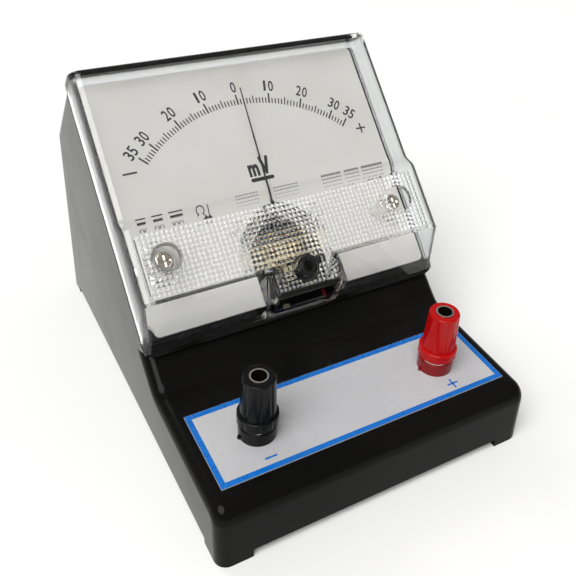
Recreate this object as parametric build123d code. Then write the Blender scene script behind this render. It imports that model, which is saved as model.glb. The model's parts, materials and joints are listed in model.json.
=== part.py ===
"""Centre-zero desk galvanometer: moving-coil movement behind a sloping dial, two 4 mm binding posts.

Millimetres. +Z is up and the front faces -Y. The origin is on the surface that the feet stand on,
under the middle of the case.
"""
from build123d import *
from math import atan2, cos, degrees, radians, sin
import os

os.makedirs("parts", exist_ok=True)

# ---- driving dimensions: case ----
CASE_W = 97.0
CASE_D = 141.0
WALL = 2.2
FOOT_H = 2.0
FOOT_W = 9.4
EDGE_R = 3.5
HALF_W = CASE_W / 2
HALF_D = CASE_D / 2

# deck that carries the terminals: a plane that rises gently to the back
DECK_TILT = 3.86
DECK_Y = -51.1
DECK_Z = 20.94
LABEL_W = 88.4
LABEL_D = 25.3
LABEL_T = 0.3

# dial head: U to the right, V up the dial, W out of the dial
TILT = 46.0
PIVOT = (0.0, -10.3, 46.4)
PART_W = -2.2
HEAD_TOP = 62.2
HEAD_FOOT = -18.5

# ---- driving dimensions: clear cover ----
COVER_HALF = 48.3
COVER_T = 1.8
COVER_FACE = 8.0
BAND_FACE = 10.4
BAND_TOP = 13.5
SHOULDER = 18.0
BAND_FOOT = -7.3
BOSS_HALF = 11.5
SCREW_U = 37.6
SCREW_V = 4.3
WELL_R = 3.35

# ---- driving dimensions: dial ----
DIAL_HALF = 44.5
DIAL_FOOT = -14.6
DIAL_TOP = 60.0
DIAL_T = 0.8
CARRIER_T = 2.2
CUT_R = 11.5

# ---- driving dimensions: movement ----
REST_ANGLE = -1.0
CORE_R = 4.6
POLE_R = 6.6
MAGNET_FRONT = -10.0
MAGNET_REAR = -22.0
FRAME_FRONT = -26.0
FRAME_REAR = -28.0
BRIDGE_REAR = -5.4
BRIDGE_FRONT = -4.4
NEEDLE_R = 51.0
NEEDLE_W = 3.0
NEEDLE_ROOT_R = 9.6
NEEDLE_ROOT_W = 0.5
ADJUST_V = -8.58
ECCENTRIC = 1.2
STAFF_R = 0.4
JEWEL_R = 0.5

# ---- driving dimensions: binding posts ----
POST_X = 28.7
STUD_R = 3.0
TUBE_R = 2.5
SOCKET_R = 2.0
SOCKET_DEPTH = 15.0
POST_TOP = 20.4
COLLAR_R = 5.15
COLLAR_H = 4.0
LOBES = 8
RUN = 0.05

LEAD_R = 0.75
BASE = (Align.CENTER, Align.CENTER, Align.MIN)

HEAD = Plane(origin=PIVOT, x_dir=(1, 0, 0), z_dir=(0, -sin(radians(TILT)), cos(radians(TILT))))
DECK = Plane(
    origin=(0, DECK_Y, DECK_Z),
    x_dir=(1, 0, 0),
    z_dir=(0, -sin(radians(DECK_TILT)), cos(radians(DECK_TILT))),
)
CARRIER_REAR = -DIAL_T - CARRIER_T


# ---- small helpers ----
def rod(r, low, high, x=0.0, y=0.0):
    """Round bar along the third axis, between two heights."""
    return Pos(x, y, low) * Cylinder(r, high - low, align=BASE)


def tube(r_out, r_in, low, high, x=0.0, y=0.0):
    """Round tube along the third axis."""
    return rod(r_out, low, high, x, y) - rod(r_in, low - 1, high + 1, x, y)


def block(x0, x1, y0, y1, z0, z1):
    """Box between two corners."""
    size = (x1 - x0, y1 - y0, z1 - z0)
    return Pos((x0 + x1) / 2, (y0 + y1) / 2, (z0 + z1) / 2) * Box(*size)


def hexagon(across, low, high, x=0.0, y=0.0):
    """Hexagonal prism along the third axis, sized across its flats."""
    face = RegularPolygon(across / 2, 6, major_radius=False)
    return Pos(x, y, low) * extrude(face, high - low)


def slab(points, half, radii=None):
    """Prism with its outline in the second and third axes, and half its width each way along the first.

    radii maps the number of an outline point to the radius that rounds it.
    """
    outline = Polyline(*points, close=True)
    face = make_face(Plane.YZ * outline)
    corners = [(Plane.YZ * Pos(*points[i])).position for i in (radii or {})]
    for corner, r in zip(corners, (radii or {}).values()):
        near = face.vertices().sort_by_distance(corner)[0]
        face = fillet(near, r)
    return extrude(face, half, both=True)


def head_point(v, w):
    """Second and third coordinates of a point in the head's middle plane."""
    point = (HEAD * Pos(0, v, w)).position
    return (point.Y, point.Z)


def deck_z(y):
    """Height of the deck under the label."""
    slope = radians(DECK_TILT)
    return DECK_Z - LABEL_T / cos(slope) + (y - DECK_Y) * sin(slope) / cos(slope)


# ---- case ----
FOOT_BACK = (HALF_D, 0.0)
KNEE = head_point(HEAD_TOP, -34.5)
REAR_TOP = head_point(HEAD_TOP, PART_W)
LIP_EDGE = head_point(HEAD_FOOT, PART_W)
LIP_UNDER = (LIP_EDGE[0] - 0.35, LIP_EDGE[1] - 1.3)
LIP_ROOT = (-20.2, 29.2)
DECK_BACK = (-27.6, deck_z(-27.6))
FRONT_TOP = (-HALF_D, deck_z(-HALF_D))
FRONT_FOOT = (-HALF_D, 0.0)
CASE_SIDE = [FRONT_FOOT, FRONT_TOP, DECK_BACK, LIP_ROOT, LIP_UNDER, LIP_EDGE, REAR_TOP, KNEE, FOOT_BACK]
CASE_RADII = {1: 5.0, 2: 7.0, 7: 6.0}


def case_outer():
    """Solid of the case's outer shape, rounded along its side edges."""
    body = slab(CASE_SIDE, HALF_W, CASE_RADII)
    soft = []
    for edge in body.edges():
        middle = edge.position_at(0.5)
        if abs(abs(middle.X) - HALF_W) > 0.01 or middle.Z < 0.01:
            continue
        local = HEAD.to_local_coords(middle)
        if local.Z > PART_W - 1.2 and local.Y < HEAD_TOP - 0.5 and local.Y > HEAD_FOOT - 2.6:
            continue
        soft.append(edge)
    return fillet(soft, EDGE_R)


def case_cavity():
    """Space inside the case: the side outline moved in by the wall, open below and at the dial."""
    face = make_face(Plane.YZ * Polyline(*CASE_SIDE, close=True))
    inner = offset(face, amount=-WALL)
    half = HALF_W - WALL
    hollow = extrude(inner, half, both=True)
    hollow += block(-half, half, -HALF_D + WALL, HALF_D - WALL - 0.7, -1, WALL + 1)
    mouth = block(-half, half, HEAD_FOOT + WALL, HEAD_TOP - WALL, -12.0, 6.0)
    return hollow + HEAD * mouth


def case_shell():
    """Moulded case: shell, corner feet, ledges for the dial carrier, and blocks for the base screws."""
    outer = case_outer()
    shell = outer - case_cavity()
    shell -= block(-HALF_W + FOOT_W, HALF_W - FOOT_W, -80, 80, -1, FOOT_H + 0.6)
    shell -= block(-60, 60, -HALF_D + FOOT_W, HALF_D - FOOT_W, -1, FOOT_H)
    grip = HALF_W - 0.8
    for side in (-1, 1):
        low_u, high_u = sorted((side * 33.0, side * grip))
        shell += (HEAD * block(low_u, high_u, -0.5, 9.5, -14.0, CARRIER_REAR)) & outer
        low_u, high_u = sorted((side * 40.5, side * grip))
        shell += (HEAD * block(low_u, high_u, 46.0, 54.0, -11.0, CARRIER_REAR)) & outer
        low_x, high_x = sorted((side * 36.5, side * grip))
        for y0, y1, top in ((-HALF_D + 1, -57.0, 20.0), (57.0, HALF_D - 1, 18.0)):
            shell += block(low_x, high_x, y0, y1, BASE_TOP, top) & outer
    for side in (-1, 1):
        shell -= HEAD * rod(1.2, -13.0, CARRIER_REAR + 1, side * SCREW_U, SCREW_V)
        shell -= DECK * rod(STUD_R + 0.6, -6, 3, side * POST_X)
        for y in BASE_SCREW_Y:
            shell -= rod(1.2, BASE_TOP - 1, BASE_TOP + 9, side * BASE_SCREW_X, y)
    return shell


# ---- base ----
BASE_LOW = 2.3
BASE_TOP = 4.3
BASE_SCREW_X = 41.0
BASE_SCREW_Y = (-62.0, 62.0)


def base_plate():
    """Flat cover that closes the case from below, inside its walls."""
    half = HALF_W - WALL - 0.25
    plate = block(-half, half, -HALF_D + WALL + 0.25, HALF_D - WALL - 1.2, BASE_LOW, BASE_TOP)
    plate = fillet(plate.edges().filter_by(Axis.Z), 1.5)
    for x in (-BASE_SCREW_X, BASE_SCREW_X):
        for y in BASE_SCREW_Y:
            plate -= rod(1.6, 0, 6, x, y)
            plate -= rod(2.7, 0, BASE_LOW + 1.0, x, y)
    return plate


def pan_screw(head_r, shank_r, head_low, head_high, tip, x=0.0, y=0.0):
    """Screw with a domed, cross-slotted head above its seat and a shank below it."""
    head = rod(head_r, head_low, head_high, x, y)
    rim = head.edges().filter_by(GeomType.CIRCLE).sort_by(Axis.Z)[-1]
    head = fillet(rim, (head_high - head_low) * 0.55)
    slot = (head_high - head_low) * 0.45
    arm = head_r * 0.62
    head -= block(x - arm, x + arm, y - 0.3, y + 0.3, head_high - slot, head_high + 1)
    head -= block(x - 0.3, x + 0.3, y - arm, y + arm, head_high - slot, head_high + 1)
    return head + rod(shank_r, tip, head_low + 0.1, x, y)


def base_screws():
    """Four screws that hold the base plate, heads downwards in their recesses."""
    flip = Rot(180, 0, 0)
    seat = -(BASE_LOW + 1.0)
    screws = []
    for x in (-BASE_SCREW_X, BASE_SCREW_X):
        for y in BASE_SCREW_Y:
            screws.append(flip * pan_screw(2.5, 1.15, seat, seat + 1.6, seat - 9.0, x, -y))
    return screws


# ---- terminal deck ----
def terminal_label():
    """Printed plate on the deck, with a hole for each post."""
    half_w, half_d = LABEL_W / 2, LABEL_D / 2
    plate = block(-half_w, half_w, -half_d, half_d, -LABEL_T, 0)
    for x in (-POST_X, POST_X):
        plate -= rod(STUD_R + 0.7, -2, 2, x)
    return DECK * plate


def post_collar(x):
    """Moulded insulating collar: stands on the label, its spigot fills the hole in the deck."""
    body = rod(COLLAR_R, 0, COLLAR_H, x)
    rim = body.edges().filter_by(GeomType.CIRCLE).sort_by(Axis.Z)[-1]
    body = fillet(rim, 0.4)
    body += rod(STUD_R + 0.5, -LABEL_T - WALL, 0.5, x)
    for side in (-1, 1):
        body += rod(0.5, 0, 0.8, x + side * (COLLAR_R + 0.1))
    body -= rod(2.0 + RUN, -4, 6, x)
    body -= rod(STUD_R + RUN, 1.0, 6, x)
    return DECK * body


def post_stud(x):
    """Nickelled brass stud: threaded shank below, thick body, thin tube with a blind 4 mm socket on top."""
    body = rod(2.0, -11.0, 1.2, x) + rod(STUD_R, 1.0, 12.0, x) + rod(TUBE_R, 12.0, POST_TOP, x)
    body -= rod(SOCKET_R, POST_TOP - SOCKET_DEPTH, POST_TOP + 1, x)
    return DECK * body


def post_bush(x):
    """Insulating bush under the deck."""
    under = -LABEL_T - WALL
    return DECK * tube(5.0, 2.0 + RUN, under - 1.5, under, x)


def solder_tag(x):
    """Tinned tag between bush and nut, with its tail towards the back."""
    top = -LABEL_T - WALL - 1.5
    tag = rod(3.8, top - 0.5, top, x) + block(x - 1.4, x + 1.4, 0, 8.5, top - 0.5, top)
    tag -= rod(2.0 + RUN, -8, 0, x)
    tag -= rod(0.6, -8, 0, x, 7.2)
    return DECK * tag


def post_nut(x):
    """M4 nut that holds the whole post to the deck."""
    top = -LABEL_T - WALL - 2.0
    return DECK * (hexagon(7.0, top - 3.2, top, x) - rod(2.0 + RUN, -12, 0, x))


def clamp_ring(x):
    """Nickelled ring that hangs on the cap's insert and clamps the wire."""
    return DECK * tube(4.8, STUD_R + 0.65, COLLAR_H + RUN, COLLAR_H + 0.95, x)


def cap_insert(x):
    """Threaded brass insert moulded into the cap, with the spigot that carries the ring."""
    foot = COLLAR_H + 0.3
    body = rod(STUD_R + 0.6, foot, COLLAR_H + 1.2, x) + rod(STUD_R + 0.9, COLLAR_H + 1.05, 12.0, x)
    return DECK * (body - rod(STUD_R + RUN, foot - 1, 13, x))


def post_cap(x):
    """Fluted plastic cap: scalloped flange, tapering grip and a hole for the tube on top."""
    low, shoulder, top = COLLAR_H + 1.05, 8.0, POST_TOP - 0.2
    foot_r, grip_r, top_r = 5.55, 4.95, 4.35
    flange = rod(foot_r, low, shoulder, x)
    flange = fillet(flange.edges().filter_by(GeomType.CIRCLE).sort_by(Axis.Z)[-1], 0.5)
    grip = Pos(x, 0, low) * Cone(grip_r, top_r, top - low, align=BASE)
    grip = fillet(grip.edges().filter_by(GeomType.CIRCLE).sort_by(Axis.Z)[-1], 0.5)
    lean = Rot(0, -2.3, 0)
    for i in range(LOBES):
        turn = Rot(0, 0, 360 * (i + 0.5) / LOBES)
        groove = Pos(x, 0, shoulder) * turn * Pos(grip_r + 1.25, 0, 0) * lean * Cylinder(1.6, 16, align=BASE)
        scallop = Pos(x, 0, low - 1) * turn * Pos(foot_r + 1.7, 0, 0) * Cylinder(1.9, 6, align=BASE)
        grip -= groove
        flange -= scallop
    body = flange + grip
    body -= rod(STUD_R + 0.9, low - 1, 12.0, x)
    body -= rod(TUBE_R + 0.1, 11, top + 1, x)
    return DECK * body


# ---- clear cover ----
COVER_SIDE = [
    (HEAD_FOOT, PART_W),
    (BAND_FOOT, BAND_FACE),
    (BAND_TOP, BAND_FACE),
    (SHOULDER, COVER_FACE),
    (HEAD_TOP, COVER_FACE),
    (HEAD_TOP, PART_W),
]
BOSS_SIDE = [(0, PART_W), (0, BAND_FACE), (-15.6, BAND_FACE), (-18.9, PART_W)]


def cover_solid(inset):
    """Outer shape of the cover, or its inner shape when inset by the wall."""
    face = make_face(Plane.YZ * Polyline(*COVER_SIDE, close=True))
    boss = make_face(Plane.YZ * Polyline(*BOSS_SIDE, close=True))
    if inset:
        face = offset(face, amount=-inset, kind=Kind.INTERSECTION)
        boss = offset(boss, amount=-inset, kind=Kind.INTERSECTION)
    body = extrude(face, COVER_HALF - inset, both=True)
    soft = [
        edge
        for edge in body.edges()
        if abs(abs(edge.position_at(0.5).X) - (COVER_HALF - inset)) < 0.01
        and edge.position_at(0.5).Z > PART_W + inset + 0.5
    ]
    body = fillet(soft, 3.2 - 0.6 * inset)
    return body + extrude(boss, BOSS_HALF - inset, both=True)


def window_cover():
    """Clear cover: drafted shell, boss round the adjuster, and two wells for the screws."""
    shell = cover_solid(0) - cover_solid(COVER_T)
    half = COVER_HALF - COVER_T
    shell -= block(-half, half, DIAL_FOOT - 0.4, HEAD_TOP - COVER_T, PART_W - 1, 0.3)
    for u in (-SCREW_U, SCREW_U):
        shell += rod(WELL_R + 1.0, RUN, BAND_FACE, u, SCREW_V)
        shell -= rod(WELL_R, 4.0, BAND_FACE + 1, u, SCREW_V)
        shell -= rod(1.6, -3, 5, u, SCREW_V)
    shell += rod(4.1, BAND_FACE - 1, BAND_FACE + 0.25, 0, ADJUST_V)
    shell -= rod(3.3, BAND_FACE - 0.2, BAND_FACE + 1, 0, ADJUST_V)
    shell -= rod(1.5 + RUN, 0, BAND_FACE + 1, 0, ADJUST_V)
    return HEAD * shell


def window_screws():
    """Two screws at the bottom of the cover's wells, into the case's ledges."""
    return [HEAD * pan_screw(2.9, 1.15, 4.0, 6.0, -11.5, u, SCREW_V) for u in (-SCREW_U, SCREW_U)]


# ---- dial ----
def dial_cut(low, high):
    """Arched cut-out that lets the pointer and the adjuster reach the movement."""
    return rod(CUT_R, low, high) + block(-CUT_R, CUT_R, DIAL_FOOT - 4, 0, low, high)


def dial_plate():
    """White scale plate."""
    plate = block(-DIAL_HALF, DIAL_HALF, DIAL_FOOT, DIAL_TOP, -DIAL_T, 0)
    plate = fillet(plate.edges().filter_by(Axis.Z), 1.5)
    plate -= dial_cut(-3, 2)
    for u in (-SCREW_U, SCREW_U):
        plate -= rod(1.6, -3, 2, u, SCREW_V)
    return HEAD * plate


PILLARS = [(-27.0, -8.0), (27.0, -8.0), (-27.0, 12.0), (27.0, 12.0)]


def dial_carrier():
    """Black moulded carrier behind the dial, with four pillars that hold the movement frame."""
    plate = block(-43.5, 43.5, DIAL_FOOT, DIAL_TOP - 0.5, CARRIER_REAR, -DIAL_T)
    plate = fillet(plate.edges().filter_by(Axis.Z), 1.5)
    plate -= dial_cut(-6, 2)
    for u in (-SCREW_U, SCREW_U):
        plate -= rod(1.6, -6, 2, u, SCREW_V)
    for u, v in PILLARS:
        plate += rod(3.4, FRAME_FRONT, CARRIER_REAR, u, v)
        plate -= rod(1.1, FRAME_FRONT - 1, FRAME_FRONT + 10, u, v)
    return HEAD * plate


def pointer_stops():
    """Two pins on the dial plate, just beyond the pointer's travel."""
    spread = 56.8
    reach = 14.5
    pins = []
    for side in (-1, 1):
        u = side * reach * sin(radians(spread))
        v = reach * cos(radians(spread))
        pins.append(HEAD * rod(0.6, 0, 4.4, u, v))
    return pins


# ---- fixed movement ----
def movement_frame():
    """Cast frame: back plate, two bosses for the poles and magnet, two posts for the core's pin."""
    plate = block(-31, 31, -15, 18, FRAME_REAR, FRAME_FRONT)
    plate = fillet(plate.edges().filter_by(Axis.Z), 3)
    for side in (-1, 1):
        low, high = sorted((side * 7.5, side * 21.0))
        plate += block(low, high, -7, 7, FRAME_FRONT - 0.5, MAGNET_REAR)
        low, high = sorted((side * 10.4, side * 13.6))
        plate += block(-2.2, 2.2, low, high, FRAME_FRONT - 0.5, -13.5)
    for u, v in PILLARS:
        plate -= rod(1.4, -32, -20, u, v)
    plate -= rod(1.2, -32, -20)
    plate -= Pos(0, 0, -16) * Rot(90, 0, 0) * Cylinder(1.2, 60)
    return HEAD * plate


def movement_screws():
    """Four screws from behind, through the frame into the carrier's pillars."""
    screws = []
    for u, v in PILLARS:
        screw = Rot(180, 0, 0) * pan_screw(2.3, 1.05, -FRAME_REAR, -FRAME_REAR + 1.6, -FRAME_REAR - 10)
        screws.append(HEAD * Pos(u, v, 0) * screw)
    return screws


def horseshoe_magnet():
    """Magnet: two legs outside the poles and an arch above them."""
    arch_v, r_in, r_out = 8.0, 13.0, 20.0
    ring = tube(r_out, r_in, MAGNET_REAR, MAGNET_FRONT, 0, arch_v)
    ring -= block(-30, 30, arch_v - 30, arch_v, MAGNET_REAR - 1, MAGNET_FRONT + 1)
    for side in (-1, 1):
        low, high = sorted((side * r_in, side * r_out))
        ring += block(low, high, -7, arch_v, MAGNET_REAR, MAGNET_FRONT)
    return HEAD * ring


def pole_shoes():
    """Two soft-iron shoes with faces curved round the coil."""
    shoes = []
    for side in (-1, 1):
        low, high = sorted((side * 3.2, side * 13.0))
        shoe = block(low, high, -7, 7, MAGNET_REAR, MAGNET_FRONT) - rod(POLE_R, -30, 0)
        shoe -= rod(1.0, -15, 0, side * 10.5)
        shoes.append(HEAD * shoe)
    return shoes


def iron_core():
    """Soft-iron core inside the coil, cross-drilled for its pin."""
    core = rod(CORE_R, MAGNET_REAR, MAGNET_FRONT)
    core = chamfer(core.edges().filter_by(GeomType.CIRCLE), 0.4)
    core -= Pos(0, 0, -16) * Rot(90, 0, 0) * Cylinder(1.2, 20)
    return HEAD * core


def core_pin():
    """Brass pin that carries the core between the frame's posts."""
    return HEAD * (Pos(0, 0, -16) * Rot(90, 0, 0) * Cylinder(1.2, 28))


def front_bridge():
    """Brass strip across the poles that carries the front jewel screw."""
    strip = block(-13.5, 13.5, -2.8, 2.8, BRIDGE_REAR, BRIDGE_FRONT)
    strip = fillet(strip.edges().filter_by(Axis.Z), 2.0)
    strip -= rod(1.2, -9, 0)
    for u in (-10.5, 10.5):
        strip -= rod(1.1, -9, 0, u)
    return HEAD * strip


def bridge_spacers():
    """Two round spacers between the poles and the bridge."""
    return [HEAD * tube(2.0, 1.1, MAGNET_FRONT, BRIDGE_REAR, u) for u in (-10.5, 10.5)]


def bridge_screws():
    """Two screws through bridge and spacers into the poles."""
    return [HEAD * pan_screw(2.0, 0.95, BRIDGE_FRONT, BRIDGE_FRONT + 1.3, -14.0, u) for u in (-10.5, 10.5)]


def jewel_screw(seat, head):
    """Screw whose inner end holds the jewel that the pivot runs in."""
    low, high = sorted((seat, head))
    body = rod(1.2, low, high)
    deep = 0.9 if head > seat else -0.9
    body -= rod(JEWEL_R, *sorted((seat, seat + deep)))
    slot_low, slot_high = sorted((head, head - deep * 0.7))
    return HEAD * (body - block(-2, 2, -0.25, 0.25, slot_low, slot_high))


def lock_nut(low, high):
    """Thin nut that locks a jewel screw."""
    return HEAD * (hexagon(4.5, low, high) - rod(1.2, low - 1, high + 1))


def hairspring(low, high, turns, r_start, pitch):
    """Flat spiral of half circles whose centres alternate, so that their ends meet."""
    thick = 0.15
    coil = None
    for i in range(2 * turns):
        r = r_start + i * pitch / 2
        shift = 0.0 if i % 2 == 0 else pitch / 2
        ring = Circle(r + thick / 2) - Circle(r - thick / 2)
        half = Pos(0, 10 if i % 2 == 0 else -10) * Rectangle(40, 20)
        arc = Pos(shift, 0) * (ring & half)
        coil = arc if coil is None else coil + arc
    return HEAD * (Pos(0, 0, low) * Rot(0, 0, -90) * extrude(coil, high - low))


def rear_spring_arm():
    """Fixed arm behind the coil: holds the rear spring's outer end and runs down to the lead."""
    low, high = FRAME_FRONT, FRAME_FRONT + 0.5
    arm = rod(2.4, low, high) + block(-1.2, 1.2, -7.6, 0, low, high)
    arm += block(-1.2, 6.0, -7.6, -5.2, low, high) + block(3.6, 6.0, -17.0, -5.2, low, high)
    arm += block(-0.5, 0.5, -5.0, -4.43, low, high + 0.7)
    return HEAD * (arm - rod(1.2, low - 1, high + 1))


# ---- swinging assembly ----
def swung(solid):
    """Places a piece of the swinging assembly at the pointer's rest angle."""
    return HEAD * Rot(0, 0, REST_ANGLE) * solid


FORMER_U, FORMER_T = 5.45, 0.4
FORMER_FRONT, FORMER_REAR = -9.1, -22.9


def loop(u_out, u_in, v_half, front, rear, thick):
    """Rectangular loop round the core, in the plane of the pivot."""
    outer = block(-u_out, u_out, -v_half, v_half, rear, front)
    return outer - block(-u_in, u_in, -9, 9, rear + thick, front - thick)


def coil_former():
    """Thin aluminium frame that the coil is wound on, and that damps the swing."""
    inner = FORMER_U - FORMER_T
    return swung(loop(FORMER_U, inner, 1.6, FORMER_FRONT, FORMER_REAR, FORMER_T))


def moving_coil():
    """Copper winding round the former."""
    winding = loop(FORMER_U + 0.7, FORMER_U, 1.3, FORMER_FRONT + 0.7, FORMER_REAR - 0.7, 0.7)
    return swung(fillet(winding.edges().filter_by(Axis.Y).group_by(Axis.Z)[-1], 0.5))


def hub(base, thick, staff_tip):
    """Hub on the coil's end bar with its collet and pivot staff. Signs of the steps follow the staff."""
    way = 1 if staff_tip > base else -1
    top = base + way * thick
    body = rod(1.8, *sorted((base, top)))
    body += rod(0.9, *sorted((top, top + way * 0.6)))
    body += rod(STAFF_R, *sorted((top, staff_tip - way * 0.25)))
    low, high = sorted((staff_tip - way * 0.25, staff_tip))
    tip = Cone(STAFF_R, 0.12, 0.25, align=BASE) if way > 0 else Cone(0.12, STAFF_R, 0.25, align=BASE)
    return swung(body + Pos(0, 0, low) * tip)


def pointer_needle():
    """Thin pointer: root plate on the hub, riser through the dial's cut-out, and a tapering blade."""
    low, high = -7.2, -6.9
    root = tube(1.8, 0.9, low, high) + block(-0.5, 0.5, 1.4, 6.4, low, high)
    thick = 0.25
    foot, knee, crown = NEEDLE_ROOT_R - 0.1, NEEDLE_ROOT_W, NEEDLE_ROOT_W + thick
    riser = slab([(6.0, low), (6.5, low), (foot + 0.5, knee), (foot + 0.5, crown), (foot, crown), (6.0, high)], 0.4)
    length = NEEDLE_R - NEEDLE_ROOT_R
    outline = Polyline((-0.3, 0), (0.3, 0), (0.13, length), (-0.13, length), close=True)
    climb = degrees(atan2(NEEDLE_W - NEEDLE_ROOT_W, length))
    blade = Pos(0, NEEDLE_ROOT_R, NEEDLE_ROOT_W) * Rot(climb, 0, 0) * extrude(make_face(outline), thick)
    return swung(root + riser + blade)


def balance_weights():
    """Three small weights on arms that balance the needle."""
    weights = []
    for turn, reach in ((180, 6.2), (90, 4.4), (-90, 4.4)):
        arm = block(-0.35, 0.35, 1.85, reach, -7.2, -6.9)
        weight = Pos(0, reach - 0.9, -7.6) * Rot(90, 0, 0) * Cylinder(0.5 if reach < 5 else 0.6, 1.6)
        weights.append(swung(Rot(0, 0, turn) * (arm + weight)))
    return weights


# ---- zero adjuster ----
def zero_screw():
    """Slotted adjuster: domed head on the cover, long shank, and an eccentric pin at its end."""
    seat = BAND_FACE - 0.2 + RUN
    head = rod(3.1, seat, seat + 1.7)
    head = fillet(head.edges().filter_by(GeomType.CIRCLE).sort_by(Axis.Z)[-1], 1.3)
    head -= block(-0.45, 0.45, -4, 4, seat + 0.8, seat + 4)
    shank = rod(1.5, -1.6, seat + 0.1) - tube(2, 1.2, 7.6, 8.35)
    flange = rod(1.9, -1.6, -0.9)
    pin = rod(0.5, -4.6, -1.5, 0, -ECCENTRIC)
    return HEAD * Pos(0, ADJUST_V, 0) * (head + shank + pin + flange)


def zero_clip():
    """Spring clip in the shank's groove, behind the cover."""
    clip = tube(2.7, 1.2, 7.75, 8.25) - block(-0.9, 0.9, -4, 0, 7, 9)
    return HEAD * Pos(0, ADJUST_V, 0) * clip


def zero_arm():
    """Brass arm on the front jewel screw: fork for the eccentric pin, finger for the hairspring."""
    low, high = BRIDGE_FRONT + 0.15, BRIDGE_FRONT + 0.75
    arm = rod(2.3, low, high) + block(-1.3, 1.3, -12.2, 0, low, high)
    arm -= block(-0.62, 0.62, -13, -7.8, low - 1, high + 1)
    arm += block(-0.45, 0.45, -5.0, -4.43, -6.75, high)
    return HEAD * (arm - rod(1.2 + RUN, low - 1, high + 1))


# ---- wiring ----
def lead(points):
    """Insulated lead: straight runs joined by arcs as large as the runs allow."""
    radii = []
    for i in range(1, len(points) - 1):
        before = Vector(*points[i]) - Vector(*points[i - 1])
        after = Vector(*points[i + 1]) - Vector(*points[i])
        half_turn = radians(before.get_angle(after)) / 2
        radii.append(0.45 * min(before.length, after.length) * cos(half_turn) / sin(half_turn))
    path = FilletPolyline(*points, radius=radii)
    return sweep(Plane(origin=path @ 0, z_dir=path % 0) * Circle(LEAD_R), path=path)


RESISTOR_X = (-20.0, -8.0)
LINK_U = 4.8
RESISTOR_YZ = (-14.0, 9.5)
TAG_LEAD = (-44.6, 15.3)


def series_resistor():
    """Wire-wound resistor carried by its leads: a bobbin with two end flanges."""
    low, high = RESISTOR_X
    bobbin = rod(2.3, low, high) + rod(3.0, low, low + 1.2) + rod(3.0, high - 1.2, high)
    return Pos(0, *RESISTOR_YZ) * Rot(0, 90, 0) * bobbin


def red_lead():
    """From the red tag to the foot of the movement frame."""
    end = head_point(-15.0, -27.0)
    before = head_point(-23.0, -27.0)
    return lead([(POST_X, *TAG_LEAD), (27.5, -26, 14), (22, -12, 8.5), (20, *before), (20, *end)])


def black_lead():
    """From the black tag to the resistor."""
    y, z = RESISTOR_YZ
    return lead([(-POST_X, *TAG_LEAD), (-28.4, -28, 13.5), (-27.5, y, z), (RESISTOR_X[0], y, z)])


def link_lead():
    """From the resistor to the rear spring arm."""
    y, z = RESISTOR_YZ
    end = head_point(-17.0, FRAME_FRONT + 0.25)
    before = head_point(-24.0, FRAME_FRONT + 0.25)
    return lead([(RESISTOR_X[1], y, z), (1.5, y, z), (LINK_U, *before), (LINK_U, *end)])


# ---- every node ----
NODES = {
    "case_shell": case_shell,
    "base_plate": base_plate,
    "base_screws": base_screws,
    "terminal_label": terminal_label,
    "window_cover": window_cover,
    "window_screws": window_screws,
    "dial_plate": dial_plate,
    "dial_carrier": dial_carrier,
    "pointer_stops": pointer_stops,
    "movement_frame": movement_frame,
    "movement_screws": movement_screws,
    "horseshoe_magnet": horseshoe_magnet,
    "pole_shoes": pole_shoes,
    "iron_core": iron_core,
    "core_pin": core_pin,
    "front_bridge": front_bridge,
    "bridge_spacers": bridge_spacers,
    "bridge_screws": bridge_screws,
    "front_jewel_screw": lambda: jewel_screw(-6.3, -2.2),
    "front_lock_nut": lambda: lock_nut(BRIDGE_FRONT + 0.9, BRIDGE_FRONT + 1.8),
    "rear_jewel_screw": lambda: jewel_screw(-25.4, -31.0),
    "rear_lock_nut": lambda: lock_nut(FRAME_REAR - 1.2, FRAME_REAR),
    "rear_spring_arm": rear_spring_arm,
    "rear_hairspring": lambda: hairspring(-25.2, -24.85, 4, 1.15, 0.8),
    "coil_former": coil_former,
    "moving_coil": moving_coil,
    "front_hub": lambda: hub(-8.4, 1.2, -5.8),
    "rear_hub": lambda: hub(-23.6, 1.0, -26.0),
    "pointer_needle": pointer_needle,
    "balance_weights": balance_weights,
    "zero_screw": zero_screw,
    "zero_clip": zero_clip,
    "zero_arm": zero_arm,
    "front_hairspring": lambda: hairspring(-6.8, -6.45, 4, 1.15, 0.8),
    "series_resistor": series_resistor,
    "red_lead": red_lead,
    "black_lead": black_lead,
    "link_lead": link_lead,
}

POST_PIECES = {
    "post_collar": post_collar,
    "stud": post_stud,
    "bush": post_bush,
    "solder_tag": solder_tag,
    "nut": post_nut,
    "clamp_ring": clamp_ring,
    "cap_insert": cap_insert,
    "cap": post_cap,
}


def save(name, made):
    """Writes one node: a solid, or a group of identical solids."""
    solids = made if isinstance(made, list) else [made]
    group = [solid for piece in solids for solid in piece.solids()]
    export_step(group[0] if len(group) == 1 else Compound(children=group), f"parts/{name}.step")


for node, make in NODES.items():
    save(node, make())

for colour, x in (("red", POST_X), ("black", -POST_X)):
    for piece, make in POST_PIECES.items():
        save(f"{colour}_{piece}", make(x))
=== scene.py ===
"""Looks of the centre-zero desk galvanometer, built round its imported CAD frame. Metres, +Z up."""

import json
from math import atan2, cos, pi, radians, sin, sqrt

import bmesh
import bpy
from mathutils import Matrix, Vector


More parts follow.
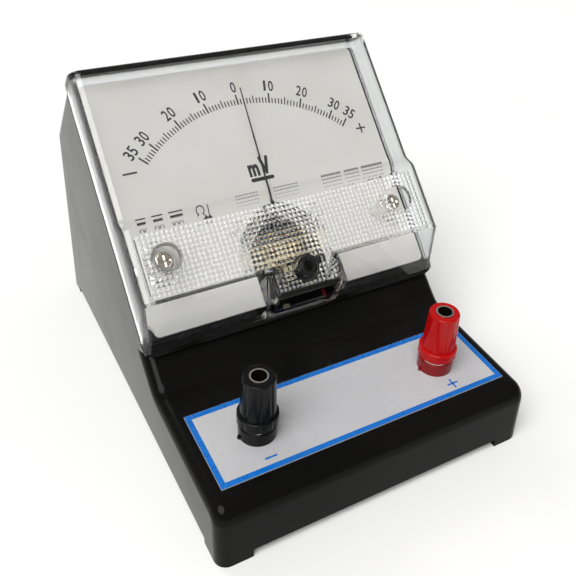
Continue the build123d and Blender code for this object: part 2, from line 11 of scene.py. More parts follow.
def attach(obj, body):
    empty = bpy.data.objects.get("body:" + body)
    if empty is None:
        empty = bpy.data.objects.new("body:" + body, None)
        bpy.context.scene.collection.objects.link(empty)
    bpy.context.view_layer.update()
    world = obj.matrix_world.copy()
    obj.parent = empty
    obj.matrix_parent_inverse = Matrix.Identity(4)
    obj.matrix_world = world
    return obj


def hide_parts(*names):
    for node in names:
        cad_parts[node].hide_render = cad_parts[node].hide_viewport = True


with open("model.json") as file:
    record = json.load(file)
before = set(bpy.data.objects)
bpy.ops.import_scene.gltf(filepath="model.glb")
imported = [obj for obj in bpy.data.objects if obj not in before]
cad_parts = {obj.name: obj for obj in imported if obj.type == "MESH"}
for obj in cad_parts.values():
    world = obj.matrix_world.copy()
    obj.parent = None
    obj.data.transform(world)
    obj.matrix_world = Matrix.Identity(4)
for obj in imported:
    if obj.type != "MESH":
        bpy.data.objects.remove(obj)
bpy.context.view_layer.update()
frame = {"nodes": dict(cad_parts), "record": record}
NODES = frame["nodes"]
MM = 0.001

# dial head: U to the right, V up the dial, W out of it; the deck rises gently to the back
TILT = radians(46.0)
PIVOT = Vector((0.0, -10.3, 46.4)) * MM
DECK_TILT = radians(3.86)
DECK = Vector((0.0, -51.1, 20.94)) * MM
POST_X = 28.7

# clear cover, in millimetres of the head
COVER_HALF, COVER_WALL, PART_W = 48.3, 1.8, -2.2
COVER_FOOT, COVER_TOP, COVER_FACE = -18.5, 62.2, 8.0
BAND_FOOT, BAND_TOP, BAND_FACE, SHOULDER = -7.3, 13.5, 10.4, 18.0
BOSS_HALF, BOSS_KNEE, BOSS_FOOT = 11.5, -15.6, -18.9
SIDE_ROUND, TOP_ROUND = 3.2, 1.6
MOUTH_FOOT, MOUTH_STEP = -15.0, 0.3
PRISM, PRISM_DEPTH, PRISM_COLUMNS, PRISM_ROWS = 1.38, 0.36, 33, 15
WELL_U, WELL_V, WELL_R = 37.6, 4.3, 3.35
HOLE_R = 1.6
ADJUST_V = -8.58
COLLAR_R, SEAT_R, ADJUST_R = 4.1, 3.3, 1.56

# scale
FULL_ANGLE, FULL_VALUE = 43.9, 35
TICK_IN = 46.8
NUMBER_R = 52.6


def head_matrix():
    """Placement of millimetre-sized pieces drawn in the head's own axes."""
    up = Vector((0, cos(TILT), sin(TILT)))
    out = Vector((0, -sin(TILT), cos(TILT)))
    place = Matrix((Vector((1, 0, 0)), up, out)).transposed().to_4x4()
    return Matrix.Translation(PIVOT) @ place @ Matrix.Scale(MM, 4)


def deck_matrix():
    """The same for the terminal deck."""
    back = Vector((0, cos(DECK_TILT), sin(DECK_TILT)))
    out = Vector((0, -sin(DECK_TILT), cos(DECK_TILT)))
    place = Matrix((Vector((1, 0, 0)), back, out)).transposed().to_4x4()
    return Matrix.Translation(DECK) @ place @ Matrix.Scale(MM, 4)


# ---- materials ----
class Look:
    """One node material with its Principled shader and short ways to add detail to it."""

    def __init__(self, name, color, roughness, metallic=0.0):
        self.material = bpy.data.materials.new(name)
        self.material.use_nodes = True
        self.nodes = self.material.node_tree.nodes
        self.links = self.material.node_tree.links
        self.shader = self.nodes["Principled BSDF"]
        self.shader.inputs["Base Color"].default_value = (*color, 1)
        self.shader.inputs["Roughness"].default_value = roughness
        self.shader.inputs["Metallic"].default_value = metallic
        self.coords = self.nodes.new("ShaderNodeTexCoord").outputs["Object"]

    def stretched(self, scale):
        """Object coordinates scaled per axis."""
        node = self.nodes.new("ShaderNodeMapping")
        node.inputs["Scale"].default_value = scale
        self.links.new(self.coords, node.inputs["Vector"])
        return node.outputs["Vector"]

    def noise(self, scale, detail=3.0, coords=None):
        node = self.nodes.new("ShaderNodeTexNoise")
        node.inputs["Scale"].default_value = scale
        node.inputs["Detail"].default_value = detail
        self.links.new(coords or self.coords, node.inputs["Vector"])
        return node.outputs["Fac"]

    def ramp(self, value, low, high, start=0.35, end=0.65):
        """Map a 0 to 1 pattern to a number between low and high."""
        node = self.nodes.new("ShaderNodeMapRange")
        self.links.new(value, node.inputs["Value"])
        for name, number in (("From Min", start), ("From Max", end), ("To Min", low), ("To Max", high)):
            node.inputs[name].default_value = number
        return node.outputs["Result"]

    def blend(self, factor, first, second):
        """Colour between two colours."""
        node = self.nodes.new("ShaderNodeMix")
        node.data_type = "RGBA"
        self.links.new(factor, node.inputs["Factor"])
        for socket, value in ((node.inputs[6], first), (node.inputs[7], second)):
            if isinstance(value, tuple):
                socket.default_value = (*value, 1)
            else:
                self.links.new(value, socket)
        return node.outputs[2]

    def color(self, output):
        self.links.new(output, self.shader.inputs["Base Color"])

    def roughness(self, output):
        self.links.new(output, self.shader.inputs["Roughness"])

    def bump(self, height, distance, strength=1.0):
        node = self.nodes.new("ShaderNodeBump")
        node.inputs["Distance"].default_value = distance
        node.inputs["Strength"].default_value = strength
        self.links.new(height, node.inputs["Height"])
        self.links.new(node.outputs["Normal"], self.shader.inputs["Normal"])

    def set(self, **values):
        for name, value in values.items():
            self.shader.inputs[name.replace("_", " ")].default_value = value


def scaled(color, factor):
    """Colour made darker or lighter."""
    return tuple(min(1.0, channel * factor) for channel in color)


def moulded(name, color, roughness, grain=900.0, grain_depth=6e-6, shine=0.5):
    """Injection-moulded plastic: faint flow marks, fine orange peel and handling smudges."""
    look = Look(name, color, roughness)
    flow = look.noise(28.0, 4.0)
    look.color(look.blend(look.ramp(flow, 0.0, 1.0), scaled(color, 0.82), scaled(color, 1.22)))
    smudge = look.noise(70.0, 6.0)
    look.roughness(look.ramp(smudge, roughness * 0.7, roughness * 1.45))
    look.bump(look.noise(grain, 2.0), grain_depth)
    look.set(IOR=1.5, Specular_IOR_Level=shine)
    return look.material


def metal(name, color, roughness, brushed=(1.0, 1.0, 1.0), scale=1500.0, tarnish=0.75):
    """Worked metal: fine tool lines, a little tarnish in patches, uneven polish."""
    look = Look(name, color, roughness, 1.0)
    patches = look.noise(260.0, 5.0)
    look.color(look.blend(look.ramp(patches, 0.0, 1.0), scaled(color, tarnish), color))
    lines = look.noise(scale, 3.0, look.stretched(brushed))
    look.roughness(look.ramp(lines, roughness * 0.7, roughness * 1.5))
    look.bump(lines, 8e-6)
    return look.material


def dial_paint():
    """Slightly warm white paint with a faint mottle."""
    look = Look("dial_paint", (0.72, 0.70, 0.665), 0.42)
    mottle = look.noise(45.0, 5.0)
    look.color(look.blend(look.ramp(mottle, 0.0, 1.0), (0.70, 0.682, 0.645), (0.74, 0.722, 0.69)))
    look.roughness(look.ramp(look.noise(600.0), 0.36, 0.5))
    look.bump(look.noise(2400.0, 2.0), 3e-6)
    return look.material


def printed(name, color, roughness=0.4):
    """Screen-printed ink with a slightly uneven film."""
    look = Look(name, color, roughness)
    film = look.noise(1500.0, 3.0)
    look.color(look.blend(look.ramp(film, 0.0, 1.0), scaled(color, 0.85), scaled(color, 1.15)))
    look.roughness(look.ramp(film, roughness * 0.8, roughness * 1.2))
    return look.material


def label_film():
    """Pale printed film under a soft gloss."""
    look = Look("label_film", (0.44, 0.44, 0.45), 0.3)
    wave = look.noise(35.0, 3.0)
    look.color(look.blend(look.ramp(wave, 0.0, 1.0), (0.455, 0.455, 0.467), (0.49, 0.49, 0.50)))
    look.roughness(look.ramp(look.noise(300.0, 5.0), 0.22, 0.4))
    look.bump(look.noise(120.0, 2.0), 1.2e-5)
    return look.material


def clear_plastic():
    """Clear moulded plastic with faint scuffs; lamps reach what is behind it."""
    look = Look("clear_plastic", (0.975, 0.985, 0.985), 0.02)
    look.set(Transmission_Weight=1.0, IOR=1.49)
    scuffs = look.noise(420.0, 6.0, look.stretched((1.0, 0.35, 0.35)))
    spots = look.ramp(scuffs, 0.012, 0.06, 0.5, 0.75)
    axes = look.nodes.new("ShaderNodeSeparateXYZ")
    look.links.new(look.coords, axes.inputs[0])
    wide = look.nodes.new("ShaderNodeMath")
    wide.operation = "ABSOLUTE"
    look.links.new(axes.outputs["X"], wide.inputs[0])
    wall = look.ramp(wide.outputs[0], 0.0, 0.3, 46.4 * MM, 47.6 * MM)
    total = look.nodes.new("ShaderNodeMath")
    look.links.new(spots, total.inputs[0])
    look.links.new(wall, total.inputs[1])
    look.roughness(total.outputs[0])
    tree = look.material.node_tree
    path = look.nodes.new("ShaderNodeLightPath")
    open_shader = look.nodes.new("ShaderNodeBsdfTransparent")
    open_shader.inputs["Color"].default_value = (0.35, 0.35, 0.35, 1)
    mix = look.nodes.new("ShaderNodeMixShader")
    tree.links.new(path.outputs["Is Shadow Ray"], mix.inputs[0])
    tree.links.new(look.shader.outputs["BSDF"], mix.inputs[1])
    tree.links.new(open_shader.outputs["BSDF"], mix.inputs[2])
    tree.links.new(mix.outputs["Shader"], look.nodes["Material Output"].inputs["Surface"])
    return look.material


def socket_metal(name, side):
    """Nickel plate outside; inside the socket, the bare brass is painted nearly black as painted shade
    of the deep bore.
    """
    look = Look(name, (0.72, 0.70, 0.66), 0.2, 1.0)
    axis = Vector((0, -sin(DECK_TILT), cos(DECK_TILT)))
    offset = look.nodes.new("ShaderNodeVectorMath")
    offset.operation = "SUBTRACT"
    offset.inputs[1].default_value = DECK + Vector((side * POST_X * MM, 0, 0))
    look.links.new(look.coords, offset.inputs[0])
    cross = look.nodes.new("ShaderNodeVectorMath")
    cross.operation = "CROSS_PRODUCT"
    cross.inputs[1].default_value = axis
    look.links.new(offset.outputs[0], cross.inputs[0])
    length = look.nodes.new("ShaderNodeVectorMath")
    length.operation = "LENGTH"
    look.links.new(cross.outputs[0], length.inputs[0])
    inside = look.ramp(length.outputs["Value"], 1.0, 0.0, 2.05 * MM, 2.12 * MM)
    patches = look.blend(look.ramp(look.noise(400.0, 4.0), 0, 1), (0.62, 0.60, 0.56), (0.78, 0.76, 0.72))
    # near-black colour inside the bore: painted shade of the hole
    look.color(look.blend(inside, patches, (0.045, 0.03, 0.018)))
    look.roughness(look.ramp(inside, 0.18, 0.55, 0.0, 1.0))
    look.bump(look.noise(1800.0, 2.0), 5e-6)
    return look.material


def winding():
    """Enamelled copper wire, wound in close turns, with painted shade in the grooves between turns and a
    painted highlight on their crests.
    """
    look = Look("copper_winding_shade_and_highlight", (0.62, 0.24, 0.09), 0.3, 0.8)
    wave = look.nodes.new("ShaderNodeTexWave")
    wave.bands_direction = "X"
    wave.inputs["Scale"].default_value = 2600.0
    look.links.new(look.coords, wave.inputs["Vector"])
    # colour darker in the grooves and lighter on the crests, following the bump: painted shade and
    # painted highlight
    look.color(look.blend(wave.outputs["Fac"], (0.35, 0.12, 0.05), (0.75, 0.32, 0.13)))
    look.bump(wave.outputs["Fac"], 3e-5)
    return look.material


BLACK = (0.0045, 0.0042, 0.004)
MATERIALS = {
    "black_case": moulded("glossy_black", BLACK, 0.13, 500.0, 4e-6, 0.075),
    "black_moulding": moulded("satin_black", (0.012, 0.012, 0.012), 0.42, 1400.0, 1.2e-5),
    "black_plastic": moulded("gloss_black_small", (0.005, 0.005, 0.005), 0.16, 1200.0, 3e-6, 0.12),
    "red_plastic": moulded("gloss_red", (0.38, 0.003, 0.003), 0.16, 1200.0, 3e-6, 0.2),
    "dark_red_plastic": moulded("dark_red", (0.20, 0.003, 0.004), 0.25, 1200.0, 4e-6, 0.3),
    "fibre": moulded("fibre_board", (0.16, 0.05, 0.025), 0.7, 2600.0, 2e-5),
    "resistor": moulded("resistor_glaze", (0.30, 0.24, 0.15), 0.35, 900.0, 1e-5),
    "red_wire": moulded("red_insulation", (0.45, 0.01, 0.01), 0.38, 1500.0, 6e-6),
    "black_wire": moulded("black_insulation", (0.015, 0.015, 0.015), 0.38, 1500.0, 6e-6),
    "needle_black": moulded("needle_lacquer", (0.008, 0.008, 0.008), 0.3, 2500.0, 2e-6),
    "dial_white": dial_paint(),
    "label_white": label_film(),
    "clear_cover": clear_plastic(),
    "nickel": metal("nickel_plate", (0.78, 0.75, 0.70), 0.16, tarnish=0.85),
    "brass": metal("brass_strip", (0.88, 0.76, 0.50), 0.38, (0.2, 1.0, 1.0), tarnish=0.88),
    "steel": metal("zinc_steel", (0.60, 0.60, 0.60), 0.3),
    "soft_iron": metal("soft_iron", (0.24, 0.24, 0.25), 0.42, (1.0, 0.15, 1.0)),
    "magnet": metal("magnet_alloy", (0.09, 0.09, 0.10), 0.55, scale=700.0, tarnish=0.6),
    "cast_frame": metal("cast_alloy", (0.48, 0.48, 0.50), 0.48, scale=600.0),
    "bare_aluminium": metal("thin_aluminium", (0.82, 0.82, 0.84), 0.26, (0.2, 1.0, 1.0)),
    "tinned": metal("tin_plate", (0.70, 0.70, 0.70), 0.34),
    "copper_wire": winding(),
}
INK = printed("dial_ink", (0.006, 0.006, 0.006))
BLUE = printed("label_blue", (0.002, 0.135, 0.50), 0.3)


def dress_nodes():
    """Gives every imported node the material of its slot."""
    slots = {row["node"]: row["material_slot"] for row in frame["record"]["subparts"]}
    for name, obj in NODES.items():
        material = MATERIALS[slots[name]]
        if name == "window_screws":
            material = metal("bright_screw", (0.86, 0.80, 0.70), 0.14, tarnish=0.7)
        if name.endswith("_stud"):
            material = socket_metal(name + "_plate", 1 if name.startswith("red") else -1)
        obj.data.materials.clear()
        obj.data.materials.append(material)


# ---- mesh helpers ----
def piece(name, bm, matrix, material, body, crease=28.0):
    """Turns a bmesh drawn in millimetres into a piece that rides on a body."""
    bmesh.ops.recalc_face_normals(bm, faces=bm.faces)
    mesh = bpy.data.meshes.new(name)
    bm.to_mesh(mesh)
    bm.free()
    mesh.transform(matrix)
    mesh.polygons.foreach_set("use_smooth", [True] * len(mesh.polygons))
    mesh.set_sharp_from_angle(angle=radians(crease))
    mesh.materials.append(material)
    obj = bpy.data.objects.new(name, mesh)
    bpy.context.collection.objects.link(obj)
    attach(obj, body)
    return obj


def add_prism(bm, outline, low, high):
    """Closed prism over a flat outline, between two heights."""
    bottom = [bm.verts.new((x, y, low)) for x, y in outline]
    top = [bm.verts.new((x, y, high)) for x, y in outline]
    bm.faces.new(bottom[::-1])
    bm.faces.new(top)
    count = len(outline)
    for i in range(count):
        j = (i + 1) % count
        bm.faces.new((bottom[i], bottom[j], top[j], top[i]))


def add_bar(bm, start, end, width, low, high, ends=0.0):
    """Flat bar between two points, with rounded ends when ends is its end radius."""
    a, b = Vector(start), Vector(end)
    along = (b - a).normalized()
    side = Vector((-along.y, along.x)) * width / 2
    if not ends:
        add_prism(bm, [tuple(p) for p in (a - side, b - side, b + side, a + side)], low, high)
        return
    outline = []
    for centre, way in ((b, 1), (a, -1)):
        for i in range(9):
            angle = pi * i / 8
            outline.append(tuple(centre - way * side * cos(angle) + way * along * ends * sin(angle)))
    add_prism(bm, outline, low, high)


def ring_points(radius, count, x, y):
    """Points of a circle round a centre."""
    angles = [2 * pi * i / count for i in range(count)]
    return [(x + radius * cos(angle), y + radius * sin(angle)) for angle in angles]


def loose(name, bm):
    """Object made from a closed bmesh, still in the head's millimetres."""
    bmesh.ops.recalc_face_normals(bm, faces=bm.faces)
    mesh = bpy.data.meshes.new(name)
    bm.to_mesh(mesh)
    bm.free()
    obj = bpy.data.objects.new(name, mesh)
    bpy.context.collection.objects.link(obj)
    return obj


def cylinder(name, radius, low, high, x, y, count=64):
    """Loose cylinder, used as a cutter or an addition."""
    bm = bmesh.new()
    add_prism(bm, ring_points(radius, count, x, y), low, high)
    return loose(name, bm)


def border_keys(last_i, last_j):
    """Keys of a grid's border points, once round."""
    keys = [(i, 0) for i in range(last_i)] + [(last_i, j) for j in range(last_j)]
    keys += [(i, last_j) for i in range(last_i, 0, -1)]
    return keys + [(0, j) for j in range(last_j, 0, -1)]


def add_pyramid(bm, corners, u, v):
    """Four facets from a cell's corners up to its crest."""
    top = bm.verts.new((u, v, BAND_FACE))
    for k in range(4):
        bm.faces.new((corners[k], corners[(k + 1) % 4], top))


# ---- clear cover ----
def corner_drop(gap, radius):
    """How far a rounded edge has dropped, at a distance in from the wall."""
    if gap >= radius:
        return 0.0
    return radius - sqrt(max(0.0, radius * radius - (radius - gap) ** 2))


def outer_height(u, v):
    """Height of the cover's outer face over the dial."""
    if v < BAND_FOOT:
        height = PART_W + (v - COVER_FOOT) * (BAND_FACE - PART_W) / (BAND_FOOT - COVER_FOOT)
    elif v <= BAND_TOP:
        height = BAND_FACE
    else:
        share = min(1.0, (v - BAND_TOP) / (SHOULDER - BAND_TOP))
        height = BAND_FACE - (BAND_FACE - COVER_FACE) * share * share * (3 - 2 * share)
    height -= corner_drop(COVER_HALF - abs(u), SIDE_ROUND)
    height -= corner_drop(COVER_TOP - v, TOP_ROUND)
    return max(PART_W, height)


def spread(low, high, count):
    """Evenly spaced numbers, both ends included."""
    return [low + (high - low) * i / count for i in range(count + 1)]


def unique(values):
    """Sorted numbers without repeats."""
    kept = []
    for value in sorted(values):
        if not kept or value - kept[-1] > 1e-4:
            kept.append(value)
    return kept


def bend_lines(edge, radius, degrees):
    """Grid lines close together over a rounded edge."""
    return [edge - radius * (1 - cos(radians(angle))) for angle in degrees]


def grid_lines():
    """Lines of the cover's outer grid: prism pitch in the middle, close lines at rounded edges."""
    prism_u = [PRISM * (i - PRISM_COLUMNS) for i in range(2 * PRISM_COLUMNS + 1)]
    bend = bend_lines(COVER_HALF, SIDE_ROUND, (0, 15, 25, 35, 44, 52, 60, 68, 75, 82, 90))
    u_lines = unique(prism_u + bend + [-u for u in bend])
    prism_v = [BAND_FOOT + PRISM * i for i in range(PRISM_ROWS + 1)]
    v_lines = prism_v + bend_lines(COVER_TOP, TOP_ROUND, (0, 25, 45, 60, 75, 90))
    v_lines += spread(COVER_FOOT, BAND_FOOT, 8) + spread(prism_v[-1], SHOULDER, 8)
    v_lines = unique(v_lines + spread(SHOULDER, COVER_TOP - TOP_ROUND, 12))
    return u_lines, v_lines, prism_u, prism_v


def cover_shell():
    """Outer face with its skirt, and inner face, of the cover; the rim between them stays open.

    The band carries the grid of small pyramids as real facets.
    """
    bm = bmesh.new()
    u_lines, v_lines, prism_u, prism_v = grid_lines()
    column_reach = PRISM * (PRISM_COLUMNS - 0.4)

    def on_line(value, lines):
        return any(abs(value - line) < 1e-3 for line in lines)

    def height(u, v):
        level = outer_height(u, v)
        inside = BAND_FOOT + 0.1 < v < prism_v[-1] - 0.1 and abs(u) < column_reach
        if inside and on_line(u, prism_u) and on_line(v, prism_v):
            level -= PRISM_DEPTH
        return level

    def has_crest(u0, u1, v0, v1):
        in_band = v0 > BAND_FOOT - 1e-3 and v1 < BAND_TOP + 1e-3
        in_reach = abs(u0) < column_reach and abs(u1) < column_reach
        whole = all(on_line(u, prism_u) for u in (u0, u1)) and all(on_line(v, prism_v) for v in (v0, v1))
        return in_band and in_reach and whole

    points = {}
    for i, u in enumerate(u_lines):
        for j, v in enumerate(v_lines):
            points[i, j] = bm.verts.new((u, v, height(u, v)))
    for i in range(len(u_lines) - 1):
        for j in range(len(v_lines) - 1):
            corners = [points[i, j], points[i + 1, j], points[i + 1, j + 1], points[i, j + 1]]
            u0, u1, v0, v1 = u_lines[i], u_lines[i + 1], v_lines[j], v_lines[j + 1]
            if has_crest(u0, u1, v0, v1):
                add_pyramid(bm, corners, (u0 + u1) / 2, (v0 + v1) / 2)
            else:
                bm.faces.new(corners)

    rim = [points[key] for key in border_keys(len(u_lines) - 1, len(v_lines) - 1)]
    skirt = []
    for vertex in rim:
        if vertex.co.z > PART_W + 1e-4:
            skirt.append(bm.verts.new((vertex.co.x, vertex.co.y, PART_W)))
        else:
            skirt.append(vertex)
    count = len(rim)
    for k in range(count):
        n = (k + 1) % count
        corners = []
        for vertex in (rim[k], rim[n], skirt[n], skirt[k]):
            if vertex not in corners:
                corners.append(vertex)
        if len(corners) > 2:
            bm.faces.new(corners[::-1])

    inner_half = COVER_HALF - COVER_WALL
    inner = [(MOUTH_FOOT, PART_W), (MOUTH_FOOT, MOUTH_STEP), (BAND_FOOT + 1.05, BAND_FACE - COVER_WALL)]
    for v in spread(BAND_TOP, SHOULDER, 12):
        inner.append((v - 0.35, outer_height(0, v) - COVER_WALL))
    inner.append((COVER_TOP - COVER_WALL, COVER_FACE - COVER_WALL))
    inner.append((COVER_TOP - COVER_WALL, PART_W))
    walls = {}
    for side in (-1, 1):
        walls[side] = [bm.verts.new((side * inner_half, v, w)) for v, w in inner]
    for k in range(len(inner) - 1):
        bm.faces.new((walls[-1][k], walls[1][k], walls[1][k + 1], walls[-1][k + 1]))
    bm.faces.new(walls[-1][::-1])
    bm.faces.new(walls[1])

    return bm, skirt, [walls[-1][0], walls[1][0], walls[1][-1], walls[-1][-1]]


def close_rim(bm, skirt, corners):
    """Joins the outer skirt to the inner mouth along the flat rim, corner by corner."""
    ends = []
    for corner in corners:
        ends.append(min(range(len(skirt)), key=lambda k: (skirt[k].co.xy - corner.co.xy).length))
    count = len(skirt)
    for k in range(4):
        start, stop = ends[k], ends[(k + 1) % 4]
        run = [skirt[(start + n) % count] for n in range((stop - start) % count + 1)]
        bm.faces.new(run + [corners[(k + 1) % 4], corners[k]])


def boolean(target, cutter, operation):
    """Applies one exact boolean and removes the other solid."""
    change = target.modifiers.new("cut", "BOOLEAN")
    change.object = cutter
    change.operation = operation
    change.solver = "EXACT"
    graph = bpy.context.evaluated_depsgraph_get()
    result = bpy.data.meshes.new_from_object(target.evaluated_get(graph))
    target.modifiers.clear()
    target.data = result
    bpy.data.objects.remove(cutter)


def boss_solid():
    """Solid of the adjuster's boss with its own prisms, hollowed afterwards."""
    bm = bmesh.new()
    columns = spread(-BOSS_HALF + 0.5, BOSS_HALF - 0.5, 16)
    rows = spread(BOSS_KNEE + 0.5, BAND_FOOT + 0.4, 6)
    low = {}
    for i, u in enumerate(columns):
        for j, v in enumerate(rows):
            edge = i in (0, len(columns) - 1) or j in (0, len(rows) - 1)
            low[i, j] = bm.verts.new((u, v, BAND_FACE - (0.0 if edge else PRISM_DEPTH)))
    for i in range(len(columns) - 1):
        for j in range(len(rows) - 1):
            corners = [low[i, j], low[i + 1, j], low[i + 1, j + 1], low[i, j + 1]]
            middle = sum((corner.co for corner in corners), Vector()) / 4
            add_pyramid(bm, corners, middle.x, middle.y)
    rim = [low[key] for key in border_keys(len(columns) - 1, len(rows) - 1)]
    rings = [rim]
    for grow, drop in ((0.35, 0.12), (0.5, 0.5)):
        ring = []
        for vertex in rim:
            u, v = vertex.co.x, vertex.co.y
            if abs(abs(u) - columns[-1]) < 1e-4:
                u += grow if u > 0 else -grow
            if abs(v - rows[0]) < 1e-4:
                v -= grow
            ring.append(bm.verts.new((u, v, BAND_FACE - drop)))
        rings.append(ring)
    foot = []
    for vertex in rings[-1]:
        share = (vertex.co.y - rings[-1][0].co.y) / (rows[-1] - rings[-1][0].co.y)
        foot.append(bm.verts.new((vertex.co.x, BOSS_FOOT + share * (BAND_FOOT - BOSS_FOOT), PART_W)))
    rings.append(foot)
    count = len(rim)
    for first, second in zip(rings, rings[1:]):
        for k in range(count):
            n = (k + 1) % count
            bm.faces.new((first[k], first[n], second[n], second[k]))
    bm.faces.new(foot)
    return loose("boss", bm)


def boss_hollow():
    """Space inside the boss, open towards the dial."""
    bm = bmesh.new()
    half = BOSS_HALF - 1.7
    roof = BAND_FACE - COVER_WALL
    side = [(-17.3, PART_W - 1), (-14.1, roof), (-3.0, roof), (-3.0, PART_W - 1)]
    left = [bm.verts.new((-half, v, w)) for v, w in side]
    right = [bm.verts.new((half, v, w)) for v, w in side]
    bm.faces.new(left)
    bm.faces.new(right[::-1])
    for k in range(4):
        n = (k + 1) % 4
        bm.faces.new((left[k], right[k], right[n], left[n]))
    return loose("hollow", bm)


def make_cover():
    """Clear cover with its prismatic band, boss, two screw wells and the adjuster's collar."""
    bm, skirt, corners = cover_shell()
    close_rim(bm, skirt, corners)
    cover = loose("clear_cover", bm)
    boolean(cover, boss_solid(), "UNION")
    boolean(cover, boss_hollow(), "DIFFERENCE")
    for u in (-WELL_U, WELL_U):
        crown = BAND_FACE - PRISM_DEPTH / 2
        boolean(cover, cylinder("tube", WELL_R + 1.0, 0.05, crown, u, WELL_V), "UNION")
        boolean(cover, cylinder("well", WELL_R, 4.0, BAND_FACE + 2, u, WELL_V), "DIFFERENCE")
        boolean(cover, cylinder("hole", HOLE_R, -3.0, 6.0, u, WELL_V, 32), "DIFFERENCE")
    boolean(cover, cylinder("collar", COLLAR_R, BAND_FACE - 1.2, BAND_FACE + 0.25, 0, ADJUST_V), "UNION")
    boolean(cover, cylinder("seat", SEAT_R, BAND_FACE - 0.2, BAND_FACE + 2, 0, ADJUST_V), "DIFFERENCE")
    boolean(cover, cylinder("bore", ADJUST_R, 4.0, BAND_FACE + 2, 0, ADJUST_V, 32), "DIFFERENCE")
    made = cover.data
    made.transform(head_matrix())
    made.polygons.foreach_set("use_smooth", [True] * len(made.polygons))
    made.set_sharp_from_angle(angle=radians(24))
    made.materials.clear()
    made.materials.append(MATERIALS["clear_cover"])
    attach(cover, "housing")
    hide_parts("window_cover")
    return cover


# ---- printing on the dial ----
INK_LOW, INK_HIGH = 0.0, 0.03


def add_ticks(bm):
    """One mark for every unit, longer at fives and tens."""
    for value in range(-FULL_VALUE, FULL_VALUE + 1):
        angle = radians(value / FULL_VALUE * FULL_ANGLE)
        outer, width = 48.6, 0.36
        if value % 5 == 0:
            outer = 49.3
        if value % 10 == 0 or abs(value) == FULL_VALUE:
            outer, width = 50.1, 0.5
        way = Vector((sin(angle), cos(angle)))
        add_bar(bm, way * TICK_IN, way * outer, width, INK_LOW, INK_HIGH)


def text_mesh(text, width, height, weight=0.0):
    """Flat letters, fitted to a width and a height, centred on the origin. Millimetres."""
    curve = bpy.data.curves.new("letters", "FONT")
    curve.body = text
    curve.size = 10.0
    curve.resolution_u = 4
    curve.extrude = 0.5
    curve.offset = weight
    obj = bpy.data.objects.new("letters", curve)
    bpy.context.collection.objects.link(obj)
    graph = bpy.context.evaluated_depsgraph_get()
    mesh = bpy.data.meshes.new_from_object(obj.evaluated_get(graph))
    bpy.data.objects.remove(obj)
    xs = [v.co.x for v in mesh.vertices]
    ys = [v.co.y for v in mesh.vertices]
    size = Matrix.Diagonal((width / (max(xs) - min(xs)), height / (max(ys) - min(ys)), INK_HIGH, 1))
    centre = Matrix.Translation((-(max(xs) + min(xs)) / 2, -(max(ys) + min(ys)) / 2, 0.5))
    mesh.transform(size @ centre)
    return mesh


def add_mesh(bm, mesh, u, v, turn=0.0):
    """Puts a flat mesh into a bmesh at a place, and removes it."""
    mesh.transform(Matrix.Translation((u, v, 0)) @ Matrix.Rotation(turn, 4, "Z"))
    bm.from_mesh(mesh)
    bpy.data.meshes.remove(mesh)


def make_scale():
    """Ticks, numbers, signs, and the unit with its line."""
    marks = bmesh.new()
    add_ticks(marks)
    add_bar(marks, (-40.5, 32.05), (-36.3, 32.05), 0.55, INK_LOW, INK_HIGH)
    add_bar(marks, (37.0, 32.0), (40.4, 32.0), 0.5, INK_LOW, INK_HIGH)
    add_bar(marks, (38.7, 30.3), (38.7, 33.7), 0.5, INK_LOW, INK_HIGH)
    add_bar(marks, (-3.2, 22.3), (3.3, 22.3), 1.3, INK_LOW, INK_HIGH, 0.6)
    piece("dial_marks", marks, head_matrix(), INK, "housing")

    numbers = bmesh.new()
    for value in (-35, -30, -20, -10, 0, 10, 20, 30, 35):
        angle = radians(value / FULL_VALUE * FULL_ANGLE)
        digits = str(abs(value))
        for i, digit in enumerate(digits):
            side = (i - (len(digits) - 1) / 2) * 2.05
            mesh = text_mesh(digit, 0.75 if digit == "1" else 1.65, 3.5, 0.14)
            u = NUMBER_R * sin(angle) + side * cos(angle)
            v = NUMBER_R * cos(angle) - side * sin(angle)
            add_mesh(numbers, mesh, u, v, -angle)
    piece("dial_numbers", numbers, head_matrix(), INK, "housing")

    unit = bmesh.new()
    add_mesh(unit, text_mesh("m", 3.5, 3.9, 0.45), -1.95, 25.45)
    add_bar(unit, (0.85, 29.0), (1.95, 24.1), 1.0, INK_LOW, INK_HIGH, 0.5)
    add_bar(unit, (3.15, 29.0), (1.95, 24.1), 1.0, INK_LOW, INK_HIGH, 0.5)
    piece("dial_unit", unit, head_matrix(), INK, "housing")


